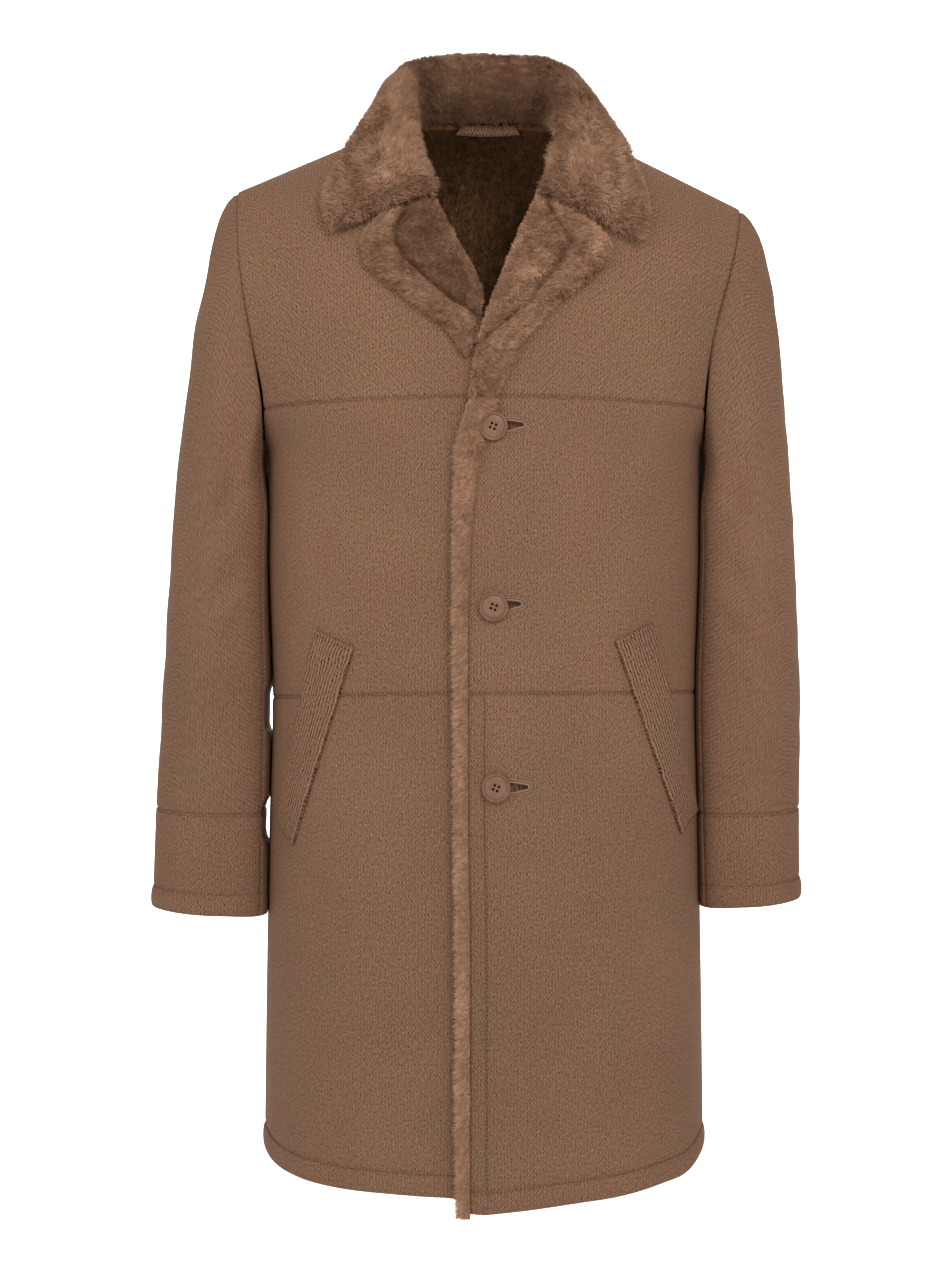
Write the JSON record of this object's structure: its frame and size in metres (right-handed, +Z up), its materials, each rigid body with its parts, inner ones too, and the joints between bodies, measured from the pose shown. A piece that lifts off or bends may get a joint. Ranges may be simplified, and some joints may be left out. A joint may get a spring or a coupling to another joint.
{
  "type": "shearling coat",
  "caption": "Single-breasted thigh-length shearling coat with a wide turned-down fur collar, slanted pocket welts and set-in sleeves, hollow as if worn.",
  "frame": {"origin": "shoulders: on the line of the shoulder seams, midway between the two shoulders, where a hanger or a wearer holds the coat", "axes": "+Z up along the coat's length, -Y out of the front, +X to the wearer's left"},
  "size_m": [0.6157, 0.3423, 1.0855],
  "materials": {
    "suede": "napped suede with fine vertical ribs, matt",
    "fur": "dense shorn sheep's fur, matt",
    "horn": "satin"
  },
  "bodies": {
    "root": {"back": "suede", "front_yoke_left": "suede", "front_yoke_right": "suede", "front_panel_left": "suede", "front_panel_right": "suede", "front_skirt_left": "suede", "front_skirt_right": "suede", "upper_sleeve_left": "suede", "upper_sleeve_right": "suede", "under_sleeve_left": "suede", "under_sleeve_right": "suede", "upper_cuff_left": "suede", "upper_cuff_right": "suede", "under_cuff_left": "suede", "under_cuff_right": "suede", "pocket_welt_left": "suede", "pocket_welt_right": "suede", "hanger_loop": "suede", "collar": "fur", "lapel_left": "fur", "lapel_right": "fur", "front_edge_fur": "fur", "button_1": "horn", "button_2": "horn", "button_3": "horn"}
  },
  "joints": []
}
